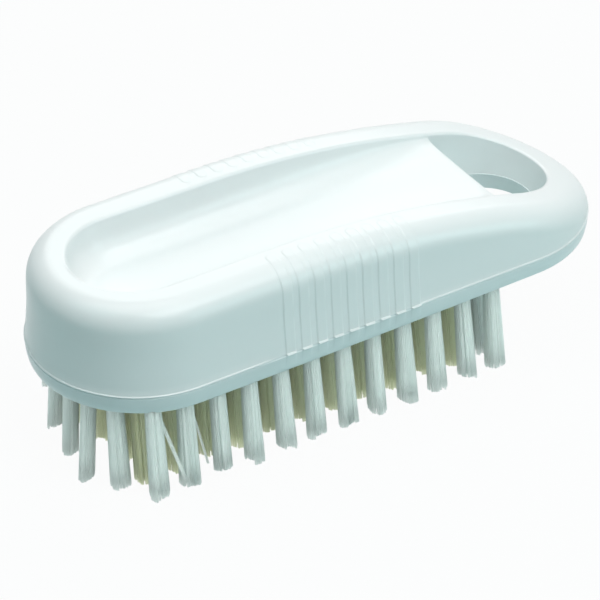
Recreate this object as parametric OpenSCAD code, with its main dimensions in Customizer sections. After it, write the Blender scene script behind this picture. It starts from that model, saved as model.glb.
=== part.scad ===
// Moulded nail brush: a hollow handle shell with a finger trough and a hanging hole,
// welded to a drilled bristle plate that holds stapled bristle tufts.

/* [Body] */
// Length of the handle, end to end
body_len = 109.4; // [90:0.1:130]
// Width of the handle
body_w = 40.6; // [32:0.1:52]
// Height of the seam between shell and plate above the bristle tips
seam_h = 20.5; // [16:0.1:28]
// Height of the crown above the seam where it is level
crown_h = 16.18; // [12:0.01:22]
// Length of the level crown, from the high end
crown_len = 40.7; // [25:0.1:60]
// Height of the falling crown above the seam at the low end
toe_h = 2.1; // [1.5:0.1:5]
// Drop of the rounded shoulder between wall and crown
shoulder_drop = 4.4; // [1.5:0.05:5]
// Wall thickness of the shell
wall = 2; // [1.4:0.1:3]
// Slope of the outer wall, in degrees
wall_draft = 5.5; // [0:0.5:8]

/* [Finger trough] */
// Width of the rim along the sides
rim_side_w = 8.8; // [6:0.1:11]
// Width of the rim at the round ends
rim_end_w = 7.9; // [5:0.1:11]
// How much narrower the hole is at the seam than at the rim, on each side
hole_taper_w = 1.46; // [0.8:0.01:3]
// Radius of the rounded rim edge
edge_r = 0.6; // [0.3:0.1:1.5]
// Height of the trough floor above the seam
floor_h = 8.9; // [7:0.1:12]
// Least depth of the floor below the rim edge
shelf_depth = 0.55; // [0.3:0.05:1.5]
// Radius between the trough wall and its floor
floor_fillet = 5; // [1:0.1:6]
// Hollow of the floor along its middle
channel_drop = 0.5; // [0:0.1:1.5]
// Distance from the straight lip to the middle of the hanging hole's round end
lip_len = 3.7; // [1:0.1:8]

/* [Grip ribs] */
// Number of ribs on each long side
rib_count = 9; // [3:1:15]
// Distance between ribs
rib_pitch = 3.15; // [2:0.05:5]
// Width of a rib
rib_w = 1.6; // [0.8:0.1:2.4]
// How far a rib stands proud of the wall
rib_proud = 0.3; // [0.2:0.05:0.8]
// Length of a rib's end that runs out over the crown
rib_over = 1.5; // [0.5:0.1:2]
// Distance from the high end to the middle rib
rib_start_len = 50.4; // [35:0.1:60]

/* [Bristle plate] */
// Thickest part of the plate's visible band
band_h = 3.77; // [2.5:0.01:6]
// Distance from the high end to the thickest part
belly_len = 39.4; // [25:0.1:60]
// Thickness of the band at the low end
band_toe_h = 2.52; // [1.5:0.01:4]
// Height of the core that fits inside the shell
core_h = 2.5; // [1.5:0.1:4]
// Gap between the core and the shell
core_gap = 0.1; // [0.05:0.05:0.3]
// Step between the shell's edge and the plate's edge
seam_step = 0.15; // [0:0.05:0.4]

/* [Bristles] */
// Number of tufts in each full row along the length
tuft_columns = 13; // [6:1:16]
// Number of rows on each side of the middle row
side_rows = 3; // [2:1:3]
// Distance from the high end to the first column of tufts
tuft_end_gap = 6.4; // [5:0.1:12]
// Distance from the last column of tufts to the lip of the hanging hole
tuft_lip_gap = 5.5; // [3:0.1:12]
// Distance from the outermost row of tufts to the side of the handle
tuft_side_gap = 3.8; // [3:0.1:8]
// Radius of the drilled holes
drill_r = 1.4; // [1:0.05:2]
// Clearance between a tuft's root and its hole
root_gap = 0.05; // [0.02:0.01:0.15]
// Solid plastic left between a drilled hole and the seam
drill_roof = 0.5; // [0.3:0.1:1]
// Height of a tuft's root in its hole
root_h = 2.5; // [1.8:0.1:3.5]
// Width of one strand at its root
strand_root_w = 0.76; // [0.5:0.01:0.9]
// Width of one strand at its tip
strand_tip_w = 1; // [0.6:0.01:1.3]
// Gap between neighbouring strands at the root
strand_root_gap = 0.08; // [0.02:0.01:0.2]
// Gap between neighbouring strands at the tips
strand_tip_gap = 0.15; // [0.05:0.01:0.4]
// Spread of the tips beyond the roots, along and across, as shares
tip_fan_share = [0.015, 0.12];

/* [Wire anchors] */
// How far the flat wire bites into the plate at each end
anchor_bite_w = 0.25; // [0.1:0.05:0.5]
// Thickness of the flat wire
anchor_w = 0.3; // [0.2:0.05:0.5]
// Height of the flat wire
anchor_h = 0.8; // [0.5:0.05:1.2]
// Distance from the bottom of the hole to the wire
anchor_cover = 0.5; // [0.3:0.1:1]

/* [Hidden] */

$fn = 96;

body_r = body_w / 2;
body_end = body_len / 2;
body_reach = body_end - body_r;

// Crown arc: level up to the place where it starts, falling to the toe at the low end
crown_x = crown_len - body_end;
crown_fall = crown_h - toe_h;
crown_run = body_end - crown_x;
crown_r = (crown_run * crown_run + crown_fall * crown_fall) / (2 * crown_fall);

// Trough and hole outline, set in from the handle's own outline
rim_r = body_r - rim_side_w;
rim_reach = body_end - rim_end_w - rim_r;
hole_r = rim_r - hole_taper_w;
hole_x = rim_reach;
lip_x = hole_x - lip_len;
rib_x = rib_start_len - body_end;

// Underside of the plate: an arc through the thickest part and the low end
belly_x = belly_len - body_end;
belly_fall = band_h - band_toe_h;
belly_run = body_end - belly_x;
belly_r = (belly_run * belly_run + belly_fall * belly_fall) / (2 * belly_fall);

// Field of tufts
first_tuft_x = tuft_end_gap - body_end;
tuft_pitch_x = (lip_x - tuft_lip_gap - first_tuft_x) / (tuft_columns - 1);
tuft_pitch_y = (body_r - tuft_side_gap) / side_rows;

// The outline's turns: segments of each round end, rings of each rounded edge
end_segments = 24;
shoulder_segments = 5;
edge_segments = 4;
fillet_segments = 3;
belly_segments = 14;

// Shares of the local height that limit the shoulder, and of the floor that its rings take
shoulder_share = 0.85;
floor_ring_shares = [0.66, 0.33];
// Inward bend of the first column at its first tuft beside the middle, as a share of the pitch
end_bow_share = 0.08;
// Share of the trough's wall that its fillet may take
fillet_share = 0.85;
// Height of a rib at the crown, as a share of its height on the wall
rib_top_share = 0.6;
// Slant of a rib's flank as a share of its height
rib_flank_share = 0.8;
// Heights and insets of the plate's soft lower edge, as shares of the band
plate_edge_share = [0, 0.45, 0.75, 1.05];
plate_inset_share = [0, 0.03, 0.09, 0.24];

rib_flank = rib_proud * rib_flank_share;
// Depth by which cutters pass a face
past = wall / 2;
// Small inward step that lets the hole's wall cut the rim edge cleanly
edge_bite = 0.1;

chamber_end = lip_x - wall;
chamber_r = body_r - wall;
channel_r = chamber_r - wall;
chamber_h = floor_h - channel_drop - wall;
flat_crown = crown_h - wall;

plate_r = body_r - seam_step;
plate_edges = band_h * plate_edge_share;
plate_insets = band_h * plate_inset_share;

drill_top = seam_h - drill_roof;
root_bottom = drill_top - root_h;
root_r = drill_r - root_gap;
strand_bury = 0.3;
anchor_top = drill_top - anchor_cover;
anchor_len = 2 * (drill_r + anchor_bite_w);
strand_root_step = strand_root_w + strand_root_gap;
strand_tip_step = strand_tip_w + strand_tip_gap;

// Height of the crown above the seam at a place along the length
function crown(x) =
    let (run = max(x - crown_x, 0))
    crown_h - crown_r + sqrt(crown_r * crown_r - run * run);

// Half width of the trough and hole at a height above the seam: even taper up to the rim
function rim_x(spot) = spot[0] * rim_reach + rim_r * spot[1][0];
function bore_r(spot, z) = hole_r + hole_taper_w * z / crown(rim_x(spot));

// Height of the trough floor above the seam: level, then held below the falling rim
function floor_z(x) = min(floor_h, crown(x) - edge_r - shelf_depth);

// Places of the outline on one straight side, each with the share of the rib there
rib_edges = [
    for (k = [0 : rib_count - 1], side = [-1, 1], foot = [0, 1])
        let (middle = rib_x + (k - (rib_count - 1) / 2) * rib_pitch)
        let (out = side < 0 ? 1 - foot : foot)
        [middle + side * (rib_w / 2 + out * rib_flank), 1 - out]
];
rib_start = rib_edges[0][0];
rib_end = rib_edges[len(rib_edges) - 1][0];
plain_left = 3;
plain_right = 7;
side_places = concat(
    [for (k = [1 : plain_left]) [-body_reach + k * (rib_start + body_reach) / (plain_left + 1), 0]],
    rib_edges,
    [for (k = [1 : plain_right]) [rib_end + k * (body_reach - rib_end) / (plain_right + 1), 0]]
);

// The outline as [share of the reach, outward direction, share of a rib],
// from the right-hand end round by the far side
function end_turn(side) = [
    for (k = [0 : end_segments])
        let (angle = 180 * k / end_segments - side * 90)
        [side, [cos(angle), sin(angle)], 0]
];
function side_run(side) = [
    for (k = [0 : len(side_places) - 1])
        let (place = side_places[side > 0 ? len(side_places) - 1 - k : k])
        [place[0] / body_reach, [0, side], place[1]]
];
outline = concat(end_turn(1), side_run(1), end_turn(-1), side_run(-1));
turns = len(outline);

// A point at a distance from the middle line of a long round-ended outline
function at(spot, reach, r) = [spot[0] * reach + r * spot[1][0], r * spot[1][1]];

// Outer wall and shoulder: a step runs from 0 at the wall's top to 1 at the crown
function wall_point(spot, share) =
    let (x = spot[0] * body_reach + body_r * spot[1][0])
    let (z = share * (crown(x) - drop_at(x)))
    concat(at(spot, body_reach, body_r - z * tan(wall_draft) + spot[2] * rib_proud), seam_h + z);
function drop_at(x) = min(shoulder_drop, shoulder_share * crown(x));
function shoulder_point(spot, step) =
    let (x = spot[0] * body_reach + body_r * spot[1][0])
    let (z = crown(x) - drop_at(x))
    let (rib = spot[2] * rib_proud * (1 - step * (1 - rib_top_share)))
    let (inset = z * tan(wall_draft) + shoulder_drop * (1 - cos(90 * step)))
    let (place = at(spot, body_reach, body_r - inset + rib * (1 - step)))
    concat(place, seam_h + crown(place[0]) - drop_at(x) * (1 - sin(90 * step)) + rib * step);

// Place on the crown, inside the shoulder, where a rib has run out
function rib_end_point(spot) =
    let (x = spot[0] * body_reach + body_r * spot[1][0])
    let (inset = (crown(x) - drop_at(x)) * tan(wall_draft) + shoulder_drop + rib_over)
    let (place = at(spot, body_reach, body_r - inset))
    concat(place, seam_h + crown(place[0]));

// Rim edge, trough wall, fillet and floor
function edge_point(spot, step) =
    let (start = rim_r + edge_r)
    let (foot = bore_r(spot, crown(rim_x(spot)) - edge_r) - edge_bite)
    let (place = at(spot, rim_reach, start - (start - foot) * sin(90 * step)))
    concat(place, seam_h + crown(place[0]) - edge_r * (1 - cos(90 * step)));
function fillet_h(spot) =
    let (place = at(spot, rim_reach, hole_r))
    min(floor_fillet, (crown(place[0]) - edge_r - floor_z(place[0])) * fillet_share);
function fillet_top_r(spot) =
    let (place = at(spot, rim_reach, hole_r))
    bore_r(spot, floor_z(place[0]) + fillet_h(spot)) - edge_bite;
function fillet_point(spot, step) =
    let (place = at(spot, rim_reach, fillet_top_r(spot) - floor_fillet * (1 - cos(90 * step))))
    concat(place, seam_h + floor_z(place[0]) + fillet_h(spot) * (1 - sin(90 * step)));
function floor_point(spot, share) =
    let (place = at(spot, rim_reach, (fillet_top_r(spot) - floor_fillet) * share))
    let (hollow = channel_drop * (1 - share * share) * fillet_h(spot) / floor_fillet)
    concat(place, seam_h + floor_z(place[0]) - hollow);

skin_rings = concat(
    [for (share = [0, 1]) [for (spot = outline) wall_point(spot, share)]],
    [for (k = [1 : shoulder_segments])
        [for (spot = outline) shoulder_point(spot, k / shoulder_segments)]],
    [[for (spot = outline) rib_end_point(spot)]],
    [for (k = [0 : edge_segments]) [for (spot = outline) edge_point(spot, k / edge_segments)]],
    [for (k = [0 : fillet_segments]) [for (spot = outline) fillet_point(spot, k / fillet_segments)]],
    [for (share = floor_ring_shares) [for (spot = outline) floor_point(spot, share)]]
);

// Triangles between two neighbouring rings
function band(low) = [
    for (k = [0 : turns - 1])
        let (a = low * turns + k)
        let (b = low * turns + (k + 1) % turns)
        each [[a, a + turns, b], [b, a + turns, b + turns]]
];
// Strips straight across a ring, from each point to its mirror image
function mirrored(k) = (turns + end_segments - k) % turns;
function cap(ring) = [
    for (k = [0 : turns - 1])
        let (next = (k + 1) % turns)
        let (a = ring * turns + k)
        let (b = ring * turns + next)
        let (c = ring * turns + mirrored(next))
        let (d = ring * turns + mirrored(k))
        if (outline[k][1][1] >= 0 && outline[next][1][1] >= 0)
        each [if (a != d) [a, d, b], if (b != c) [b, d, c]]
];
function turned(faces) = [for (face = faces) [face[0], face[2], face[1]]];

module skin() {
    last = len(skin_rings) - 1;
    polyhedron(
        points = [for (ring = skin_rings) each ring],
        faces = concat(
            turned(cap(0)),
            [for (ring = [0 : last - 1]) each band(ring)],
            cap(last)
        ),
        convexity = 6
    );
}

// Flat round-ended outline along X
module long_round(reach, r) {
    for (side = [-1, 1])
        translate([side * reach, 0])
            circle(r = r);
    square([2 * reach, 2 * r], center = true);
}

// Everything to one side of a place along the length
module from_x(x, height) {
    translate([x, -body_w, -height])
        cube([body_len, 2 * body_w, 2 * height]);
}

// Space under the crown, one wall thickness inside it
module under_crown() {
    translate([crown_x, body_w / 2, crown_h - crown_r])
        rotate([90, 0, 0])
            cylinder(r = crown_r - wall, h = body_w, $fn = 360);
    translate([crown_x - body_len, -body_w / 2, -past])
        cube([body_len, body_w, flat_crown + past]);
}

// Hollow of the shell: a low chamber under the trough and a raised one round it
module chamber() {
    difference() {
        union() {
            translate([0, 0, -past])
                linear_extrude(chamber_h + past)
                    long_round(body_reach, chamber_r);
            intersection() {
                linear_extrude(crown_h)
                    difference() {
                        long_round(body_reach, channel_r);
                        long_round(rim_reach, rim_r + wall);
                    }
                under_crown();
            }
        }
        from_x(chamber_end, body_len);
    }
}

// Hanging hole: round at the far end, straight at the lip, tapered from the rim to the seam
hole_turns = concat(
    [[lip_x / rim_reach, [0, -1], 0]],
    end_turn(1),
    [[lip_x / rim_reach, [0, 1], 0]]
);
function hole_ring(above) = [
    for (spot = hole_turns)
        let (z = above > 0 ? crown(rim_x(spot)) + above : above)
        concat(at(spot, rim_reach, bore_r(spot, z)), z)
];
module hanging_hole() {
    count = len(hole_turns);
    last = count - 1;
    polyhedron(
        points = concat(hole_ring(-past), hole_ring(past)),
        faces = concat(
            [for (k = [0 : last])
                let (next = (k + 1) % count)
                each [[k, k + count, next], [next, k + count, next + count]]],
            [for (k = [0 : last / 2 - 1])
                each [[k, k + 1, last - k], [k + 1, last - k - 1, last - k]]],
            [for (k = [count : count + last / 2 - 1])
                let (far = 2 * count + last - k)
                each [[k, far, k + 1], [k + 1, far, far - 1]]]
        )
    );
}

module handle_shell() {
    color("whitesmoke")
        difference() {
            skin();
            translate([0, 0, seam_h]) {
                chamber();
                hanging_hole();
            }
        }
}

// Side of the plate's band, with its soft lower edge
module band_profile() {
    polygon(concat(
        [[0, 0]],
        [for (k = [0 : len(plate_edges) - 1]) [plate_r - plate_insets[k], -plate_edges[k]]],
        [[0, -plate_edges[len(plate_edges) - 1]]]
    ));
}

// Side view of the plate: level at the seam, slightly bellied underneath
function belly_z(x) =
    let (run = x - belly_x)
    belly_r - band_h - sqrt(belly_r * belly_r - run * run);
module belly_profile() {
    polygon(concat(
        [for (k = [0 : belly_segments])
            let (x = (2 * k / belly_segments - 1) * body_end)
            [x, belly_z(x)]],
        [[body_end, past], [-body_end, past]]
    ));
}

module plate_band() {
    intersection() {
        union() {
            for (side = [-1, 1])
                translate([side * body_reach, 0, 0])
                    rotate_extrude()
                        band_profile();
            translate([-body_reach, 0, 0])
                rotate([90, 0, 90])
                    linear_extrude(2 * body_reach) {
                        band_profile();
                        mirror([1, 0])
                            band_profile();
                    }
        }
        rotate([90, 0, 0])
            linear_extrude(2 * body_w, center = true)
                belly_profile();
    }
}

// Place of a tuft's root: column counts from the left, row from the middle
function root_at(column, row) =
    let (bow = column == 0 ? end_bow_share * tuft_pitch_x * row * row : 0)
    [first_tuft_x + column * tuft_pitch_x + bow, row * tuft_pitch_y];
// The outermost rows start one column later, where the plate's end is round
function rows_of(column) =
    let (reach = column == 0 ? side_rows - 1 : side_rows)
    [for (row = [-reach : reach]) row];

module bristle_plate() {
    color("gainsboro")
        difference() {
            translate([0, 0, seam_h])
                difference() {
                    union() {
                        plate_band();
                        difference() {
                            translate([0, 0, -past])
                                linear_extrude(core_h + past)
                                    long_round(body_reach, chamber_r - core_gap);
                            from_x(chamber_end - core_gap, body_len);
                        }
                    }
                    translate([0, 0, -band_h - past])
                        linear_extrude(band_h + 2 * past)
                            intersection() {
                                union() {
                                    translate([hole_x, 0])
                                        circle(r = hole_r - seam_step);
                                    translate([lip_x, seam_step - hole_r])
                                        square([hole_x - lip_x, 2 * (hole_r - seam_step)]);
                                }
                                translate([lip_x, -body_w / 2])
                                    square([body_len, body_w]);
                            }
                }
            for (column = [0 : tuft_columns - 1], row = rows_of(column)) {
                translate(concat(root_at(column, row), seam_h - band_h - past))
                    cylinder(r = drill_r, h = band_h + past - drill_roof, $fn = 24);
                anchor(column, row);
            }
        }
}

// Flat wire driven across the root of a tuft, biting into the hole's wall at both ends
module anchor(column, row) {
    place = root_at(column, row);
    translate([place[0] - anchor_w / 2, place[1] - anchor_len / 2, anchor_top - anchor_h])
        cube([anchor_w, anchor_len, anchor_h]);
}

// One strand: a slanted four-sided bar from the root down to the trimmed tip
module strand(top, bottom) {
    corners = [[-1, -1], [1, -1], [1, 1], [-1, 1]];
    polyhedron(
        points = [
            for (corner = corners) [
                bottom[0] + corner[0] * strand_tip_w / 2, bottom[1] + corner[1] * strand_tip_w / 2, 0
            ],
            for (corner = corners) [
                top[0] + corner[0] * strand_root_w / 2,
                top[1] + corner[1] * strand_root_w / 2,
                root_bottom + strand_bury
            ]
        ],
        faces = concat(
            [[0, 1, 2], [0, 2, 3], [4, 6, 5], [4, 7, 6]],
            [for (k = [0 : 3]) each [[k, k + 4, (k + 1) % 4], [(k + 1) % 4, k + 4, (k + 1) % 4 + 4]]]
        )
    );
}

// One tuft: its folded root in the hole, slotted for the wire, and its strands
module tuft(column, row) {
    root = root_at(column, row);
    tip = [root[0] * (1 + tip_fan_share[0]), root[1] * (1 + tip_fan_share[1])];
    difference() {
        translate(concat(root, root_bottom))
            cylinder(r = root_r, h = root_h, $fn = 24);
        anchor(column, row);
    }
    for (step = [[0, 0], [1, 0], [0, 1], [-1, 0], [0, -1]])
        strand(root + strand_root_step * step, tip + strand_tip_step * step);
}

module tuft_column(column) {
    color(column % 2 == 0 ? "lightsteelblue" : "lightblue")
        for (row = rows_of(column))
            tuft(column, row);
}

module anchor_column(column) {
    color("silver")
        for (row = rows_of(column))
            anchor(column, row);
}

// Two-figure number at the end of a node's name
function numbered(name, column) = str(name, column < 9 ? "0" : "", column + 1);

handle_shell();
bristle_plate();
for (column = [0 : tuft_columns - 1]) {
    tuft_column(column);
    anchor_column(column);
}
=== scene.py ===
"""Moulded nail brush: white handle shell, drilled plate and stapled nylon tufts."""
import math

import bmesh
import bpy
import numpy as np
from mathutils import Matrix, Vector


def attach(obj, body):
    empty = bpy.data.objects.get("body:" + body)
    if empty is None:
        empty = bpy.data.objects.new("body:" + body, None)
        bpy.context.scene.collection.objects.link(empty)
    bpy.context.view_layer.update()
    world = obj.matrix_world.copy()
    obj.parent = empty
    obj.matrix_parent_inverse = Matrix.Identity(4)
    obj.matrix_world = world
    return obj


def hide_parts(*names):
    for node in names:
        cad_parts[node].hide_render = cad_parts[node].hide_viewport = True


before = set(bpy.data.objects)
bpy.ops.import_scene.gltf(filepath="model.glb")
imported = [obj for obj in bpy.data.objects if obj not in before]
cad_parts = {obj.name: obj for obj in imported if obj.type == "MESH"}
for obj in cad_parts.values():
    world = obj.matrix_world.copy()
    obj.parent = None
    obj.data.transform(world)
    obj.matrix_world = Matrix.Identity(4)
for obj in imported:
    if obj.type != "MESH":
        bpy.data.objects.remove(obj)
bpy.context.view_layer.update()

MM = 0.001

# Driving sizes of the moulded handle, in millimetres
BODY_LEN = 109.4
BODY_W = 40.6
SEAM_H = 20.5
CROWN_H = 16.18
CROWN_LEN = 40.7
TOE_H = 2.1
SHOULDER_DROP = 4.4
SHOULDER_SHARE = 0.85
WALL_SLOPE = math.tan(math.radians(5.5))
RIM_SIDE_W = 8.8
RIM_END_W = 7.9
HOLE_TAPER_W = 1.46
# The hanging hole opens a little wider at its far end
END_FLARE = 0.6
EDGE_R = 0.6
FLOOR_H = 8.9
SHELF_DEPTH = 0.55
FLOOR_FILLET = 5.0
FILLET_SHARE = 0.85
CHANNEL_DROP = 0.5
LIP_LEN = 3.7
# The floor ends in a short slope down to the lip, and the slope starts softly
LIP_SLOPE_W = 1.9
LIP_SLOPE_H = 0.32
SLOPE_START = 0.15
SLOPE_FADE_IN = 1.6
LEVEL_BLEND = 0.25
# The wall stands back from the outline, which the bead round its lower edge nearly reaches
WALL_INSET = 0.3
INSET_TOP_Z = 12.0
BEAD_H = 0.34
BEAD_TOP_SHARE = 0.8
BEAD_PROUD = 0.2
BEAD_FADE_SHARE = 0.8
BEAD_NOSE_Z = 0.14
# Under its nose the bead turns in again by this much
NOSE_TURN_IN = 0.3
# Between the ribs the bead almost dies away
RIB_ZONE_END = 1.2
RIB_ZONE_FADE = 0.8

BODY_R = BODY_W / 2
BODY_END = BODY_LEN / 2
BODY_REACH = BODY_END - BODY_R
CROWN_X = CROWN_LEN - BODY_END
CROWN_FALL = CROWN_H - TOE_H
CROWN_R = ((BODY_END - CROWN_X) ** 2 + CROWN_FALL**2) / (2 * CROWN_FALL)
RIM_R = BODY_R - RIM_SIDE_W
RIM_REACH = BODY_END - RIM_END_W - RIM_R
HOLE_R = RIM_R - HOLE_TAPER_W
LIP_X = RIM_REACH - LIP_LEN
LIP_SHARE = LIP_X / RIM_REACH

# Grip ribs
RIB_COUNT = 9
RIB_PITCH = 3.15
# The middle rib, from the thick end
RIB_FROM_END = 50.4
RIB_W = 1.6
RIB_PROUD = 0.2
RIB_TOP_SHARE = 0.45
RIB_OVER = 1.5
RIB_FLANK = 0.3
RIB_BEAD = 0.3
RIB_X = RIB_FROM_END - BODY_END
RIB_MIDDLES = RIB_X + (np.arange(RIB_COUNT) - (RIB_COUNT - 1) / 2) * RIB_PITCH

# Stations round the outline, and rings along each form of the handle
END_STATIONS = 97
SIDE_STATIONS = 100
SLOPE_STATIONS = 9
RIB_TOP_STATIONS = 6
FLANK_STATIONS = 7
FLANK_MARGIN = 0.04
LAST_SHARE = 0.999
STRAIGHT_SIDE = 0.9999
SAME_SHARE = 2e-6
NOSE_RINGS = 4
FOOT_RINGS = 6
WALL_RINGS = 9
SHOULDER_RINGS = 15
RUN_OUT_RINGS = 11
EDGE_RINGS = 9
TROUGH_WALL_RINGS = 5
FILLET_RINGS = 17
FLOOR_RINGS = 13
LIP_ROWS = 9

# Points closer than this are one point, and edges sharper than the angle stay sharp
WELD_GAP = 0.003
HANDLE_ANGLE = 42.0
PLATE_ANGLE = 34.0

# Plate: the ribs run on down its side and fade out above its lower edge
PLATE_SIDE_R = 19.0
PLATE_RIB = 0.12
PLATE_RIB_FADE = 3.0
PLATE_FLANK_CUTS = 4
PLATE_WELD_GAP = 0.001
# Groove under the handle's bead, as deep as it is high
PLATE_GROOVE = 0.28

# Bristles
TUFT_COLUMNS = 13
SIDE_ROWS = 3
# First column from the thick end, last one from the lip, outer rows from the side
FIRST_FROM_END = 6.4
LAST_FROM_LIP = 5.5
ROWS_FROM_SIDE = 3.8
# The first column bows inwards by this share of the pitch, times the square of the row
BOW_SHARE = 0.08
FIRST_TUFT_X = FIRST_FROM_END - BODY_END
TUFT_PITCH_X = (LIP_X - LAST_FROM_LIP - FIRST_TUFT_X) / (TUFT_COLUMNS - 1)
TUFT_PITCH_Y = (BODY_R - ROWS_FROM_SIDE) / SIDE_ROWS
END_BOW = BOW_SHARE * TUFT_PITCH_X
TUFT_ROOT_R = 1.22
TUFT_TIP_R = 1.6
TIP_FAN_X = 0.015
# How far the tips of a row stand from the middle line, by rows out from it
TIP_ROWS_Y = np.array([0.0, 6.5, 13.6, 18.8])
TIP_LIMIT_Y = 20.35
ROOT_TOP = 19.9
FILAMENTS = 40
RING_FILAMENTS = 27
FILAMENT_SIDES = 6
FILAMENT_RINGS = 5
FILAMENT_ROOT_R = 0.19
FILAMENT_TIP_R = 0.24
CORE_SIDES = 20
CORE_RINGS = 3
CORE_SHARE = 0.8
CLUMPS = 6
# Tips of the first column's tufts, which lean outwards round the end
END_TIPS = {
    -2: (-47.0, -13.4), -1: (-50.6, -7.9), 0: (-49.4, 0.0), 1: (-48.2, 7.6), 2: (-43.5, 12.2),
}
# Slimmer tufts, by column and row
THIN = {(0, -1), (0, 0), (0, 1), (0, 2)}
THIN_SHARE = 0.75
# Chance: seed, scatter of tips and filaments, turn of a filament, and width of a tuft
SEED = 700
TIP_SCATTER = 0.2
FILAMENT_SCATTER = 0.05
TURN_SCATTER = 0.05
WIDTH_RANGE = (0.88, 1.1)
# Trim: height, tilt, step from clump to clump, raggedness and the lowest tip
TRIM_H = 0.3
TRIM_TILT = 0.6
TRIM_STEP = 1.0
TRIM_RAGGED = 0.03
TRIM_LOWEST = 0.03
CORE_SHORTER = 0.4
# Roots that stand near the plate's round edge come out of their holes a little further in
EDGE_ROOTS = {(1, -3), (1, 3)}
EDGE_ROOT_IN = np.array([0.3, 0.55])
# Depth in the field of tufts at its edge, one tuft in, and further in, which sets the nylon's
# painted shade tint
DEPTHS = (0.0, 0.8, 1.0)
# Loose filaments that cross to the next tuft: root place, tip place and how many lie together
LOOSE = [
    ((-41.8, -16.9, 17.0), (-38.2, -20.2, 2.4), 2),
    ((-35.4, -17.0, 17.0), (-33.1, -19.0, 3.2), 1),
]
LOOSE_COLUMN = 2
LOOSE_GAP = 0.3
LOOSE_CLOSING = 0.6


def linear(hex_colour):
    """sRGB hex value to linear RGB, by the sRGB curve."""
    values = [int(hex_colour[k : k + 2], 16) / 255 for k in (1, 3, 5)]
    curve = [v / 12.92 if v <= 0.04045 else ((v + 0.055) / 1.055) ** 2.4 for v in values]
    return (*curve, 1.0)


def smooth_step(value):
    """0 below 0, 1 above 1, and 3t^2 - 2t^3 between."""
    t = np.clip(value, 0.0, 1.0)
    return t * t * (3.0 - 2.0 * t)


def crown(x):
    """Crown height above the seam: level, then an arc of radius CROWN_R that falls along x."""
    run = np.maximum(x - CROWN_X, 0.0)
    return CROWN_H - CROWN_R + np.sqrt(CROWN_R**2 - run**2)


def floor_z(x):
    """Trough floor height: the lesser of FLOOR_H and a fixed depth below the crown.

    Where the two are closer than LEVEL_BLEND, they are mixed by their difference, less the
    blend times the two shares, which rounds the bend.
    """
    shelf = crown(x) - EDGE_R - SHELF_DEPTH
    gap = np.clip(0.5 + 0.5 * (shelf - FLOOR_H) / LEVEL_BLEND, 0.0, 1.0)
    return shelf * (1 - gap) + FLOOR_H * gap - LEVEL_BLEND * gap * (1 - gap)


def add_mesh(name, points, face_sets, material):
    """A softly shaded piece from points in millimetres and arrays of faces of one size each."""
    mesh = bpy.data.meshes.new(name)
    corners = np.concatenate([faces.ravel() for faces in face_sets]).astype(np.int32)
    sizes = np.concatenate([np.full(len(faces), faces.shape[1]) for faces in face_sets])
    starts = np.concatenate([[0], np.cumsum(sizes)[:-1]]).astype(np.int32)
    mesh.vertices.add(len(points))
    mesh.vertices.foreach_set("co", (np.asarray(points) * MM).astype(np.float32).ravel())
    mesh.loops.add(len(corners))
    mesh.loops.foreach_set("vertex_index", corners)
    mesh.polygons.add(len(sizes))
    mesh.polygons.foreach_set("loop_start", starts)
    mesh.update(calc_edges=True)
    mesh.validate()
    mesh.shade_smooth()
    mesh.materials.append(material)
    piece = bpy.data.objects.new(name, mesh)
    bpy.context.scene.collection.objects.link(piece)
    return piece


def grid_faces(rows, columns, start=0, closed=False):
    """Quads of a rows by columns grid of points, closed round its columns if asked."""
    r = np.arange(rows - 1)[:, None]
    c = np.arange(columns if closed else columns - 1)[None, :]
    after = (c + 1) % columns
    quads = [r * columns + c, r * columns + after, (r + 1) * columns + after, (r + 1) * columns + c]
    return np.stack(quads, axis=-1).reshape(-1, 4) + start


def weld(piece, angle):
    """Merges doubled points, drops empty faces, turns faces outwards, keeps sharp edges sharp."""
    work = bmesh.new()
    work.from_mesh(piece.data)
    bmesh.ops.remove_doubles(work, verts=work.verts, dist=WELD_GAP * MM)
    bmesh.ops.dissolve_degenerate(work, edges=work.edges, dist=WELD_GAP * MM)
    bmesh.ops.recalc_face_normals(work, faces=work.faces)
    for edge in work.edges:
        sharp = len(edge.link_faces) == 2 and edge.calc_face_angle(0) > math.radians(angle)
        edge.smooth = not sharp
    for face in work.faces:
        face.smooth = True
    work.to_mesh(piece.data)
    work.free()


def outline_stations():
    """Stations round the handle: far side from the right, left end, near side, right end.

    A station is (share of the reach, outward x, outward y). The straight sides carry extra
    stations on every rib flank and on the slope before the lip, so that both stay crisp.
    """
    turn = np.linspace(0.0, math.pi, END_STATIONS)
    half = RIB_W / 2
    across = np.concatenate([
        np.linspace(0.0, half - 2 * FLANK_MARGIN, RIB_TOP_STATIONS),
        np.linspace(half - FLANK_MARGIN, half + RIB_FLANK + FLANK_MARGIN, FLANK_STATIONS),
    ])
    ribs = np.concatenate([RIB_MIDDLES[:, None] + across, RIB_MIDDLES[:, None] - across]).ravel()
    slope = np.linspace(LIP_X - LIP_SLOPE_W, LIP_X, SLOPE_STATIONS)
    even = np.linspace(-1.0, 1.0, SIDE_STATIONS)
    shares = np.concatenate([even, ribs / BODY_REACH, slope / RIM_REACH])
    shares = np.unique(np.round(shares, 6))
    shares = shares[np.abs(shares) < LAST_SHARE]
    far = np.stack([shares[::-1], 0 * shares, 0 * shares + 1], axis=1)
    near = np.stack([shares, 0 * shares, 0 * shares - 1], axis=1)
    left = np.stack([0 * turn - 1, -np.sin(turn), np.cos(turn)], axis=1)
    right = np.stack([0 * turn + 1, np.sin(turn), -np.cos(turn)], axis=1)
    return np.concatenate([far, left, near, right])


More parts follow.
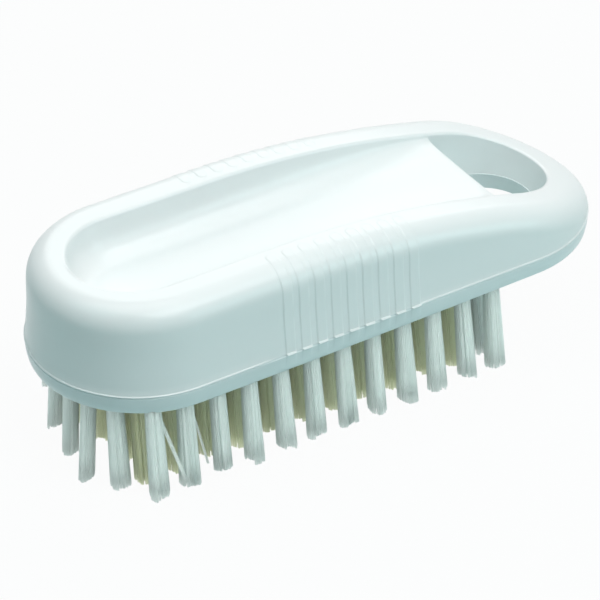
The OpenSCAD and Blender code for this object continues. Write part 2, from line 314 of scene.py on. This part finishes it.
def ring_at(stations, reach, r, z):
    """Ring of points at distance r outwards from the middle line, at height z above the seam."""
    x = stations[:, 0] * reach + r * stations[:, 1]
    y = r * stations[:, 2]
    return np.stack([x, y, SEAM_H + (z(x) if callable(z) else z + 0 * x)], axis=1)


def wall_r(z):
    """Wall radius: falls with height by the draft slope, less the inset.

    The inset fades out by smooth_step between half of INSET_TOP_Z and INSET_TOP_Z.
    """
    inset = WALL_INSET * (1 - smooth_step(2 * z / INSET_TOP_Z - 1))
    return BODY_R - z * WALL_SLOPE - inset


def rib_lift(stations, r, end_r):
    """Height share of a rib: 1 on it, 0 beside it, with a smooth flank and a round inner end.

    More than half its width from the rib's middle line, it falls by smooth_step over RIB_FLANK.
    """
    along = stations[:, 0] * BODY_REACH
    away = np.abs(along[:, None] - RIB_MIDDLES).min(axis=1)
    beyond = np.maximum(end_r + RIB_W / 2 - r, 0.0)
    near = 1.0 - smooth_step((np.hypot(away, beyond) - RIB_W / 2) / RIB_FLANK)
    return near * (np.abs(stations[:, 2]) > STRAIGHT_SIDE)


def outer_rings(stations):
    """Rings from the seam up the drafted wall, over the shoulder and in along the crown.

    Lower edge: a bead with a quarter-round nose, which runs up into the wall by smooth_step. It
    stands out less along the ribs' part of the side, and further out under each rib.
    Shoulder: a quarter ellipse that ends level with the falling crown. A rib lifts a ring
    along its own normal and runs out on the crown in a half circle.
    """
    spot_x = stations[:, 0] * BODY_REACH + BODY_R * stations[:, 1]
    drop = np.minimum(SHOULDER_DROP, SHOULDER_SHARE * crown(spot_x))
    top = crown(spot_x) - drop
    shoulder_r = wall_r(top) - SHOULDER_DROP
    end_r = shoulder_r - RIB_OVER
    on_rib = rib_lift(stations, BODY_R, end_r)
    along = stations[:, 0] * BODY_REACH
    zone = smooth_step((RIB_MIDDLES[-1] + RIB_ZONE_END - along) / RIB_ZONE_FADE)
    zone *= smooth_step((along - RIB_MIDDLES[0] + RIB_PITCH * 2) / RIB_PITCH)
    nose_r = BODY_R - WALL_INSET + BEAD_PROUD * (1 - BEAD_FADE_SHARE * zone)
    nose_r += (BODY_R + RIB_BEAD - nose_r) * on_rib
    foot = np.minimum(BEAD_H, BEAD_TOP_SHARE * top)
    foot_r = wall_r(foot) + RIB_PROUD * on_rib
    rings = []
    for turn in np.linspace(0.0, math.pi / 2, NOSE_RINGS)[:-1]:
        r = nose_r - NOSE_TURN_IN * (1 - math.sin(turn))
        rings.append(ring_at(stations, BODY_REACH, r, BEAD_NOSE_Z * (1 - math.cos(turn))))
    for share in np.linspace(0.0, 1.0, FOOT_RINGS)[:-1]:
        r = nose_r + (foot_r - nose_r) * smooth_step(share)
        rings.append(ring_at(stations, BODY_REACH, r, BEAD_NOSE_Z * (1 - share) + foot * share))
    for share in np.linspace(0.0, 1.0, WALL_RINGS):
        z = foot * (1 - share) + top * share
        rings.append(ring_at(stations, BODY_REACH, wall_r(z) + RIB_PROUD * on_rib, z))
    for step in np.linspace(0.0, 1.0, SHOULDER_RINGS)[1:]:
        turn = step * math.pi / 2
        r = shoulder_r + SHOULDER_DROP * math.cos(turn)
        rib = RIB_PROUD * (1 - step * (1 - RIB_TOP_SHARE)) * rib_lift(stations, r, end_r)
        rise = rib * step - drop * (1 - math.sin(turn))
        ring = ring_at(stations, BODY_REACH, r + rib * (1 - step), crown)
        ring[:, 2] += rise
        rings.append(ring)
    for inward in np.linspace(0.0, RIB_OVER + RIB_FLANK, RUN_OUT_RINGS)[1:]:
        r = shoulder_r - inward
        ring = ring_at(stations, BODY_REACH, r, crown)
        ring[:, 2] += RIB_PROUD * RIB_TOP_SHARE * rib_lift(stations, r, end_r)
        rings.append(ring)
    return rings


def end_flare(stations):
    """Extra width of the rim round the hole's far end: END_FLARE times outward x squared."""
    return END_FLARE * np.maximum(stations[:, 1], 0.0) ** 2


def bore_r(stations, z):
    """Half width of the trough and hole: an even taper from the seam up to the local crown.

    The taper is wider by end_flare round the hole's far end.
    """
    rim_x = stations[:, 0] * RIM_REACH + RIM_R * stations[:, 1]
    return HOLE_R + (HOLE_TAPER_W + end_flare(stations)) * z / crown(rim_x)


def edge_rings(stations):
    """Rounded rim edge: a quarter ellipse from the crown in and down to the trough wall."""
    rim_x = stations[:, 0] * RIM_REACH + RIM_R * stations[:, 1]
    start = RIM_R + EDGE_R + end_flare(stations)
    foot = bore_r(stations, crown(rim_x) - EDGE_R)
    rings = []
    for turn in np.linspace(0.0, math.pi / 2, EDGE_RINGS):
        ring = ring_at(stations, RIM_REACH, start - (start - foot) * math.sin(turn), crown)
        ring[:, 2] -= EDGE_R * (1 - math.cos(turn))
        rings.append(ring)
    return rings


def lip_drop(x):
    """How far the floor falls towards the lip, which is LIP_SLOPE_H at the lip itself.

    It grows as t^2 / (t + SLOPE_START), where t runs from 0 to 1 over the slope's width: a soft
    start and then a straight slope.
    """
    t = np.clip((x - LIP_X + LIP_SLOPE_W) / LIP_SLOPE_W, 0.0, 1.0)
    return LIP_SLOPE_H * (1 + SLOPE_START) * t * t / (t + SLOPE_START)


def trough_rings(stations):
    """Trough wall, wide fillet and hollow floor, down to the middle line.

    The fillet is a quarter ellipse, FLOOR_FILLET wide. The floor inside it is lower by
    CHANNEL_DROP times (1 - s^2)^2, where s is the share of the way out from the middle line,
    and the drop is less where the fillet is lower. The fall towards the lip fades in over the
    fillet's upper part.
    """
    hole_x = stations[:, 0] * RIM_REACH + HOLE_R * stations[:, 1]
    level = floor_z(hole_x)
    rim_z = crown(stations[:, 0] * RIM_REACH + RIM_R * stations[:, 1]) - EDGE_R
    height = np.minimum(FLOOR_FILLET, (crown(hole_x) - EDGE_R - level) * FILLET_SHARE)
    top_r = bore_r(stations, level + height)
    rings = []
    for share in np.linspace(0.0, 1.0, TROUGH_WALL_RINGS)[1:-1]:
        z = rim_z * (1 - share) + (level + height) * share
        rings.append(ring_at(stations, RIM_REACH, bore_r(stations, z), z))
    for turn in np.linspace(0.0, math.pi / 2, FILLET_RINGS):
        r = top_r - FLOOR_FILLET * (1 - math.cos(turn))
        ring = ring_at(stations, RIM_REACH, r, floor_z)
        ring[:, 2] += height * (1 - math.sin(turn))
        ring[:, 2] -= lip_drop(ring[:, 0]) * smooth_step(SLOPE_FADE_IN * turn)
        rings.append(ring)
    for share in np.linspace(1.0, 0.0, FLOOR_RINGS)[1:]:
        ring = ring_at(stations, RIM_REACH, (top_r - FLOOR_FILLET) * share, floor_z)
        hollow = CHANNEL_DROP * (1 - share**2) ** 2 * height / FLOOR_FILLET
        ring[:, 2] -= hollow + lip_drop(ring[:, 0])
        rings.append(ring)
    return rings


def hole_rings(stations, shares):
    """Tapered wall of the hanging hole, at shares of the height from the seam to the rim edge."""
    rim_z = crown(stations[:, 0] * RIM_REACH + RIM_R * stations[:, 1]) - EDGE_R
    return [ring_at(stations, RIM_REACH, bore_r(stations, rim_z * s), rim_z * s) for s in shares]


def handle_shell(material):
    """The moulded handle as one closed surface.

    Rings run round it from the seam to the rim. There the lip splits them: stations left of
    it go down into the trough, the others down the hanging hole. The lip's own face and the
    flat underside close the form.
    """
    stations = outline_stations()
    count = len(stations)
    outer = outer_rings(stations) + edge_rings(stations)
    lip_far, lip_near = np.flatnonzero(
        (np.abs(stations[:, 0] - LIP_SHARE) < SAME_SHARE)
        & (np.abs(stations[:, 2]) > STRAIGHT_SIDE)
    )
    trough = np.arange(lip_far, lip_near + 1)
    hole = np.concatenate([np.arange(lip_near, count), np.arange(0, lip_far + 1)])
    floor = trough_rings(stations)
    blocks = [[ring[trough] for ring in [outer[-1], *floor]]]
    # Lip face: the floor's end, carried straight down and narrowed with the bore
    walls = TROUGH_WALL_RINGS - 2
    far = np.array([ring[lip_far] for ring in floor[walls:]])
    near = np.array([ring[lip_near] for ring in floor[walls:]])
    top = np.concatenate([far, near[::-1][1:]])
    rows = []
    for share in np.linspace(0.0, 1.0, LIP_ROWS):
        row = top.copy()
        row[:, 2] = top[:, 2] * (1 - share) + SEAM_H * share
        taper = HOLE_TAPER_W * (row[0, 2] - SEAM_H) / crown(LIP_X)
        row[:, 1] *= (HOLE_R + taper) / top[0, 1]
        rows.append(row)
    blocks.append(rows)
    # The hole's wall has points at the heights that the trough's wall and the lip face have
    heights = [ring[lip_far, 2] for ring in floor[:walls]] + [row[0, 2] for row in rows]
    shares = (np.array(heights) - SEAM_H) / (outer[-1][lip_far, 2] - SEAM_H)
    blocks.append([ring[hole] for ring in [outer[-1], *hole_rings(stations, shares)]])
    # Underside: in from the lower edge to the hole, and to the middle line left of the lip
    ends = [ring_at(stations, RIM_REACH, r, 0.0) for r in rows[-1][: len(far), 1]]
    blocks.append([outer[0][hole], ends[0][hole]])
    blocks.append([outer[0][trough], *[ring[trough] for ring in ends]])
    points = [np.concatenate(outer)]
    faces = [grid_faces(len(outer), count, closed=True)]
    start = len(outer) * count
    for block in blocks:
        points.append(np.concatenate(block))
        faces.append(grid_faces(len(block), len(block[0]), start))
        start += len(points[-1])
    piece = add_mesh("moulded_handle", np.concatenate(points), faces, material)
    weld(piece, HANDLE_ANGLE)
    return piece


def plate_copy(material):
    """The drilled plate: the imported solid's surface, with the ribs carried on down its side.

    Planes across the ribs give the side points to stand on. Every point of the side then moves
    outwards by the rib's height, which fades out by smooth_step below the seam. Its top edge
    moves in, so that a narrow groove runs round under the handle's bead.
    """
    piece = bpy.data.objects.new("drilled_plate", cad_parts["bristle_plate"].data.copy())
    bpy.context.scene.collection.objects.link(piece)
    piece.data.materials.clear()
    piece.data.materials.append(material)
    work = bmesh.new()
    work.from_mesh(piece.data)
    bmesh.ops.remove_doubles(work, verts=work.verts, dist=PLATE_WELD_GAP * MM)
    flank = np.linspace(RIB_W / 2, RIB_W / 2 + RIB_FLANK, PLATE_FLANK_CUTS)
    for x in np.concatenate([RIB_MIDDLES[:, None] + flank, RIB_MIDDLES[:, None] - flank]).ravel():
        everything = work.verts[:] + work.edges[:] + work.faces[:]
        bmesh.ops.bisect_plane(work, geom=everything, plane_co=(x * MM, 0, 0), plane_no=(1, 0, 0))
    edge = (0, 0, (SEAM_H - PLATE_GROOVE) * MM)
    everything = work.verts[:] + work.edges[:] + work.faces[:]
    bmesh.ops.bisect_plane(work, geom=everything, plane_co=edge, plane_no=(0, 0, 1))
    work.to_mesh(piece.data)
    work.free()
    flat = np.empty(len(piece.data.vertices) * 3, dtype=np.float32)
    piece.data.vertices.foreach_get("co", flat)
    points = flat.reshape(-1, 3).astype(float) / MM
    outward = points[:, :2].copy()
    outward[:, 0] -= np.clip(points[:, 0], -BODY_REACH, BODY_REACH)
    away = np.hypot(outward[:, 0], outward[:, 1])
    side = away > PLATE_SIDE_R
    rib = np.abs(points[:, :1] - RIB_MIDDLES).min(axis=1)
    rib = (1 - smooth_step((rib - RIB_W / 2) / RIB_FLANK)) * (np.abs(points[:, 0]) < BODY_REACH)
    fade = smooth_step(1 - (SEAM_H - points[:, 2]) / PLATE_RIB_FADE)
    growth = (side * PLATE_RIB * rib * fade)[:, None]
    growth -= (side * PLATE_GROOVE)[:, None] * (points[:, 2:] > SEAM_H - PLATE_GROOVE / 2)
    points[:, :2] += outward / np.maximum(away, 1.0)[:, None] * growth
    piece.data.vertices.foreach_set("co", (points * MM).astype(np.float32).ravel())
    weld(piece, PLATE_ANGLE)
    return piece


def bundle_points(roots, tips, root_r, tip_r, sides, rings):
    """Points of straight tubes, as (tube, ring, side, xyz).

    A tube's middle line is the straight line from its root to its tip, and its radius grows
    evenly between them.
    """
    t = np.linspace(0.0, 1.0, rings)[None, :, None]
    middle = roots[:, None] * (1 - t) + tips[:, None] * t
    angles = np.linspace(0, 2 * math.pi, sides, endpoint=False)
    circle = np.stack([np.cos(angles), np.sin(angles), 0 * angles], axis=1)
    r = root_r[:, None, None] * (1 - t) + tip_r[:, None, None] * t
    return middle[:, :, None] + r[..., None] * circle


def tube_faces(points, start):
    """Faces of the tubes and of both their ends, turned outwards."""
    count, rings, sides = points.shape[:3]
    starts = (np.arange(count) * rings * sides)[:, None, None] + start
    tube = grid_faces(rings, sides, closed=True)[None, :, ::-1] + starts
    root = np.arange(sides)[None, None] + starts
    tip = np.arange((rings - 1) * sides, rings * sides)[None, None, ::-1] + starts
    return tube.reshape(-1, 4), root.reshape(-1, sides), tip.reshape(-1, sides)


def filament_pattern():
    """Angle and share of the tuft's radius of each filament: a ring, and a sunflower inside it.

    Inner filament n is turned by n times the golden angle, at a share that grows as the square
    root of n.
    """
    index = np.arange(FILAMENTS)
    inside = np.maximum(index - RING_FILAMENTS, 0)
    on_ring = index < RING_FILAMENTS
    golden = math.pi * (3 - math.sqrt(5))
    angles = np.where(on_ring, index * 2 * math.pi / RING_FILAMENTS, inside * golden)
    share = CORE_SHARE * np.sqrt((inside + 0.5) / (FILAMENTS - RING_FILAMENTS))
    return angles, np.where(on_ring, 1.0, share)[:, None]


def trimmed_tips(dice, spin, pattern):
    """Heights of a tuft's tips: a tilted plane, a step for each clump and some raggedness."""
    clump = ((spin % (2 * math.pi)) / (2 * math.pi) * CLUMPS).astype(int)
    cut = dice.uniform(0.0, TRIM_H) + pattern @ dice.uniform(-TRIM_TILT, TRIM_TILT, 2)
    cut += dice.uniform(0, TRIM_STEP, CLUMPS)[clump]
    cut += np.abs(dice.normal(0, TRIM_RAGGED, FILAMENTS))
    return np.maximum(cut, TRIM_LOWEST)


def tuft_lines(dice, column, row):
    """One tuft: roots and tips of its filaments, then root, tip and tip radius of its core.

    Each filament ends at the same point of a wider pattern, so that a tuft opens evenly. The
    tufts in THIN are slimmer, and those in EDGE_ROOTS start nearer the middle.
    """
    angles, spread = filament_pattern()
    bow = END_BOW * row * row if column == 0 else 0.0
    root = np.array([FIRST_TUFT_X + column * TUFT_PITCH_X + bow, row * TUFT_PITCH_Y])
    tip = np.array([root[0] * (1 + TIP_FAN_X), math.copysign(TIP_ROWS_Y[abs(row)], row)])
    tip += dice.normal(0, TIP_SCATTER, 2)
    if column == 0:
        tip = np.array(END_TIPS[row])
    if (column, row) in EDGE_ROOTS:
        root = root - EDGE_ROOT_IN * np.sign(root)
    spin = angles + dice.uniform(0, 2 * math.pi) + dice.normal(0, TURN_SCATTER, FILAMENTS)
    pattern = spread * np.stack([np.cos(spin), np.sin(spin)], axis=1)
    wide = TUFT_TIP_R * dice.uniform(*WIDTH_RANGE, 2)
    wide *= THIN_SHARE if (column, row) in THIN else 1.0
    tip_xy = tip + pattern * wide + dice.normal(0, FILAMENT_SCATTER, pattern.shape)
    tip_xy[:, 1] = np.clip(tip_xy[:, 1], -TIP_LIMIT_Y, TIP_LIMIT_Y)
    cut = trimmed_tips(dice, spin, pattern)
    roots = np.column_stack([root + pattern * TUFT_ROOT_R, np.full(FILAMENTS, ROOT_TOP)])
    core_r = CORE_SHARE * wide.min()
    limit = TIP_LIMIT_Y - core_r
    core_tip = [tip[0], np.clip(tip[1], -limit, limit), cut.max() + CORE_SHORTER]
    return roots, np.column_stack([tip_xy, cut]), [*root, ROOT_TOP], core_tip, core_r


def tuft_column(column, material):
    """One column of tufts: filaments in tufts, a core in the middle of each, and loose ones.

    The attribute "inner" holds how deep in the field a tuft stands, from 0 at its edge to 1, for
    the nylon's painted shade tint.
    """
    dice = np.random.default_rng(SEED + column)
    reach = SIDE_ROWS - 1 if column == 0 else SIDE_ROWS
    rows = range(-reach, reach + 1)
    tufts = [tuft_lines(dice, column, row) for row in rows]
    roots, tips, core_roots, core_tips, core_r = map(list, zip(*tufts))
    edges = [min(reach - abs(row), column, TUFT_COLUMNS - 1 - column) for row in rows]
    depths = [DEPTHS[min(edge, len(DEPTHS) - 1)] for edge in edges]
    inner = np.repeat(depths, FILAMENTS)
    if column == LOOSE_COLUMN:
        for root, tip, number in LOOSE:
            beside = np.column_stack([np.arange(number) * LOOSE_GAP, np.zeros((number, 2))])
            roots.append(np.array(root) + beside)
            tips.append(np.array(tip) + beside * LOOSE_CLOSING)
            inner = np.append(inner, np.zeros(number))
    plain = np.ones(len(inner))
    threads = bundle_points(
        np.concatenate(roots), np.concatenate(tips),
        FILAMENT_ROOT_R * plain, FILAMENT_TIP_R * plain, FILAMENT_SIDES, FILAMENT_RINGS,
    )
    cores = bundle_points(
        np.array(core_roots), np.array(core_tips),
        np.full(len(rows), CORE_SHARE * TUFT_ROOT_R), np.array(core_r), CORE_SIDES, CORE_RINGS,
    )
    points = np.concatenate([threads.reshape(-1, 3), cores.reshape(-1, 3)])
    faces = [*tube_faces(threads, 0), *tube_faces(cores, threads.size // 3)]
    piece = add_mesh(f"tufts_column_{column + 1:02d}", points, faces, material)
    depth = piece.data.attributes.new("inner", "FLOAT", "POINT")
    values = np.concatenate([
        np.repeat(inner, FILAMENT_RINGS * FILAMENT_SIDES),
        np.repeat(depths, CORE_RINGS * CORE_SIDES),
    ])
    depth.data.foreach_set("value", values.astype(np.float32))
    return piece


def node_with(tree, kind, settings=None, links=None):
    """Adds one shader node, sets its inputs or properties, and links its inputs."""
    made = tree.nodes.new(kind)
    for key, value in (settings or {}).items():
        if isinstance(key, str) and hasattr(made, key) and key not in made.inputs:
            setattr(made, key, value)
        else:
            made.inputs[key].default_value = value
    for key, source in (links or {}).items():
        tree.links.new(source, made.inputs[key])
    return made


def new_material(name):
    """An empty node material and its tree."""
    material = bpy.data.materials.new(name)
    material.use_nodes = True
    material.node_tree.nodes.clear()
    return material, material.node_tree


def moulded_abs(name, colour):
    """Injection-moulded white ABS: clean, glossy, with the faint unevenness of a polished mould."""
    material, tree = new_material(name)
    place = node_with(tree, "ShaderNodeTexCoord").outputs["Object"]
    # Slow waviness about 9 mm across, and a fine skin of about 0.4 mm
    waves = node_with(
        tree, "ShaderNodeTexNoise", {"Scale": 110.0, "Detail": 2.0}, {"Vector": place}
    )
    skin = node_with(
        tree, "ShaderNodeTexNoise", {"Scale": 2500.0, "Detail": 3.0}, {"Vector": place}
    )
    rough = node_with(
        tree, "ShaderNodeMapRange", {"To Min": 0.27, "To Max": 0.29},
        {"Value": waves.outputs["Fac"]},
    )
    bump = node_with(
        tree, "ShaderNodeBump", {"Strength": 0.05, "Distance": 0.00006},
        {"Height": skin.outputs["Fac"]},
    )
    shader = node_with(
        tree, "ShaderNodeBsdfPrincipled",
        {"Base Color": linear(colour), "IOR": 1.53, "Subsurface Weight": 0.12,
         "Subsurface Radius": (0.9, 1.0, 1.0), "Subsurface Scale": 0.002},
        {"Roughness": rough.outputs["Result"], "Normal": bump.outputs["Normal"]},
    )
    node_with(tree, "ShaderNodeOutputMaterial", links={"Surface": shader.outputs["BSDF"]})
    return material


NYLON_THROUGH = 0.95


def drawn_nylon():
    """Drawn nylon filament: pale, and mostly seen by the light that comes through it.

    Its faint tint is painted shade: blue-green at the field's edge, yellow-green deep in the field,
    where the tufts shade each other.
    """
    material, tree = new_material("drawn nylon filament")
    place = node_with(tree, "ShaderNodeTexCoord").outputs["Object"]
    inner = node_with(tree, "ShaderNodeAttribute", {"attribute_name": "inner"})
    ramp = node_with(tree, "ShaderNodeValToRGB", links={"Fac": inner.outputs["Fac"]})
    # Painted shade: the tint by depth in the field stands in for the shade among the inner tufts
    ramp.color_ramp.elements[0].color = linear("#fbfffe")
    ramp.color_ramp.elements[1].color = linear("#fdfff2")
    # Streaks a little narrower than a filament, 0.36 mm, and 25 times as long
    streaks = node_with(tree, "ShaderNodeMapping", {"Scale": (1.0, 1.0, 0.04)}, {"Vector": place})
    fine = node_with(
        tree, "ShaderNodeTexNoise", {"Scale": 2800.0, "Detail": 1.0},
        {"Vector": streaks.outputs["Vector"]},
    )
    shade = node_with(
        tree, "ShaderNodeMapRange", {"To Min": 0.993, "To Max": 1.0}, {"Value": fine.outputs["Fac"]}
    )
    tint = node_with(
        tree, "ShaderNodeVectorMath", {"operation": "SCALE"},
        {0: ramp.outputs["Color"], "Scale": shade.outputs["Result"]},
    )
    shader = node_with(
        tree, "ShaderNodeBsdfPrincipled", {"Roughness": 0.38, "IOR": 1.53},
        {"Base Color": tint.outputs["Vector"]},
    )
    through = node_with(tree, "ShaderNodeBsdfTranslucent", links={"Color": tint.outputs["Vector"]})
    mixed = node_with(
        tree, "ShaderNodeMixShader", {0: NYLON_THROUGH},
        {1: shader.outputs["BSDF"], 2: through.outputs["BSDF"]},
    )
    node_with(tree, "ShaderNodeOutputMaterial", links={"Surface": mixed.outputs["Shader"]})
    return material


def flattened_wire():
    """Flattened steel staple wire, tinned: bright, with the fine grain of the rolls."""
    material, tree = new_material("flattened staple wire")
    place = node_with(tree, "ShaderNodeTexCoord").outputs["Object"]
    grain = node_with(tree, "ShaderNodeTexNoise", {"Scale": 4000.0}, {"Vector": place})
    rough = node_with(
        tree, "ShaderNodeMapRange", {"To Min": 0.25, "To Max": 0.4}, {"Value": grain.outputs["Fac"]}
    )
    shader = node_with(
        tree, "ShaderNodeBsdfPrincipled",
        {"Base Color": linear("#c9cbcc"), "Metallic": 1.0}, {"Roughness": rough.outputs["Result"]},
    )
    node_with(tree, "ShaderNodeOutputMaterial", links={"Surface": shader.outputs["BSDF"]})
    return material


def seen_directly(tree):
    """1 for rays that show the surroundings: from the camera, by reflection or through a piece."""
    path = node_with(tree, "ShaderNodeLightPath")
    mirrored = node_with(
        tree, "ShaderNodeMath", {"operation": "MAXIMUM"},
        {0: path.outputs["Is Camera Ray"], 1: path.outputs["Is Glossy Ray"]},
    )
    return node_with(
        tree, "ShaderNodeMath", {"operation": "MAXIMUM"},
        {0: mirrored.outputs[0], 1: path.outputs["Is Transmission Ray"]},
    ).outputs[0]


FLOOR_REACH = 4000
FLOOR_WHITE = 0.955


def studio_floor():
    """Sheet under the brush: pale blue-green paper, seen as white, with a soft shadow on it."""
    material, tree = new_material("white paper floor")
    paper = node_with(tree, "ShaderNodeBsdfDiffuse", {"Color": linear("#bcdada")})
    white = node_with(tree, "ShaderNodeEmission", {"Color": (1, 1, 1, 1), "Strength": 1.0})
    part = node_with(
        tree, "ShaderNodeMath", {"operation": "MULTIPLY", 1: FLOOR_WHITE}, {0: seen_directly(tree)}
    )
    mixed = node_with(
        tree, "ShaderNodeMixShader",
        links={0: part.outputs[0], 1: paper.outputs[0], 2: white.outputs[0]},
    )
    node_with(tree, "ShaderNodeOutputMaterial", links={"Surface": mixed.outputs["Shader"]})
    corners = FLOOR_REACH * np.array([(-1, -1, 0), (1, -1, 0), (1, 1, 0), (-1, 1, 0)])
    add_mesh("paper_floor", corners, [np.array([[0, 1, 2, 3]])], material)


# Camera solved from the photograph: direction, distance and lens
CAMERA_AZIMUTH = -0.5535
CAMERA_ELEVATION = 0.60935
CAMERA_ROLL = -0.01009
CAMERA_DISTANCE = 596.1
CAMERA_AIM = (0.3, 0.0, SEAM_H)
CAMERA_LENS = 204.33
FRAME_PX = 600
CENTRE_PX = (314.57, 264.64)


def add_camera():
    """Places the camera on its sight line, turned by the roll and with the frame shifted."""
    a, e, roll = CAMERA_AZIMUTH, CAMERA_ELEVATION, CAMERA_ROLL
    back = Vector((math.sin(a) * math.cos(e), -math.cos(a) * math.cos(e), math.sin(e)))
    right = (-back).cross(Vector((0, 0, 1))).normalized()
    up = right.cross(-back)
    turned_right = right * math.cos(roll) + up * math.sin(roll)
    turned_up = up * math.cos(roll) - right * math.sin(roll)
    data = bpy.data.cameras.new("camera")
    data.lens = CAMERA_LENS
    data.sensor_width = 36.0
    data.shift_x = (FRAME_PX / 2 - CENTRE_PX[0]) / FRAME_PX
    data.shift_y = (CENTRE_PX[1] - FRAME_PX / 2) / FRAME_PX
    data.clip_start = 0.05
    data.clip_end = 20.0
    camera = bpy.data.objects.new("camera", data)
    turn = Matrix((turned_right, turned_up, back)).transposed()
    place = (Vector(CAMERA_AIM) + back * CAMERA_DISTANCE) * MM
    camera.matrix_world = Matrix.Translation(place) @ turn.to_4x4()
    bpy.context.scene.collection.objects.link(camera)
    bpy.context.scene.camera = camera


# Soft boxes: name, place, size, power and colour
LAMP_AIM = (0, 0, 20)
LAMPS = [
    ("overhead", (0, 60, 620), (520, 420), 1.42, "#fff6f5"),
    ("left_top", (-330, 60, 520), (420, 420), 0.6, "#c8fbfb"),
    ("front_top", (60, -300, 540), (420, 300), 1.6, "#ffffff"),
    ("back_box", (280, 455, 390), (520, 360), 1.05, "#ffffff"),
    ("front_fill", (380, -560, 200), (340, 300), 0.8, "#d6fffe"),
]


def soft_box(name, place, size, power, colour):
    """A rectangular studio light at a place in millimetres, facing the brush."""
    data = bpy.data.lights.new(name, "AREA")
    data.shape = "RECTANGLE"
    data.size, data.size_y = size[0] * MM, size[1] * MM
    data.energy = power
    data.color = linear(colour)[:3]
    lamp = bpy.data.objects.new(name, data)
    lamp.location = Vector(place) * MM
    lamp.rotation_euler = (Vector(LAMP_AIM) - Vector(place)).to_track_quat("-Z", "Y").to_euler()
    bpy.context.scene.collection.objects.link(lamp)


def add_lights():
    """White soft boxes above, in front and behind, two faint blue-green ones, and a dim room."""
    for lamp in LAMPS:
        soft_box(*lamp)
    world = bpy.data.worlds.new("studio")
    bpy.context.scene.world = world
    world.use_nodes = True
    tree = world.node_tree
    tree.nodes.clear()
    room = node_with(tree, "ShaderNodeBackground", {"Color": linear("#a9cccd"), "Strength": 0.05})
    white = node_with(tree, "ShaderNodeBackground", {"Color": (1, 1, 1, 1), "Strength": 1.0})
    mixed = node_with(
        tree, "ShaderNodeMixShader",
        links={0: seen_directly(tree), 1: room.outputs[0], 2: white.outputs[0]},
    )
    node_with(tree, "ShaderNodeOutputWorld", links={"Surface": mixed.outputs["Shader"]})


add_camera()
add_lights()
studio_floor()

shell_abs = moulded_abs("glossy white ABS, shell", "#eff4f4")
# The plate is the shell's white ABS painted a little darker: painted shade for its band, which
# leans in under the seam and gets less light from above
plate_abs_painted_shade = moulded_abs("glossy white ABS, plate with painted shade", "#e3edee")
nylon = drawn_nylon()
wire = flattened_wire()

shell = handle_shell(shell_abs)
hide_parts("handle_shell")
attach(shell, "root")

plate = plate_copy(plate_abs_painted_shade)
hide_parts("bristle_plate")
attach(plate, "root")

for column in range(TUFT_COLUMNS):
    tufts = tuft_column(column, nylon)
    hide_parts(f"tufts_{column + 1:02d}")
    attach(tufts, "root")
    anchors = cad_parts[f"anchors_{column + 1:02d}"]
    anchors.data.materials.clear()
    anchors.data.materials.append(wire)

bpy.context.scene.view_settings.view_transform = "Standard"
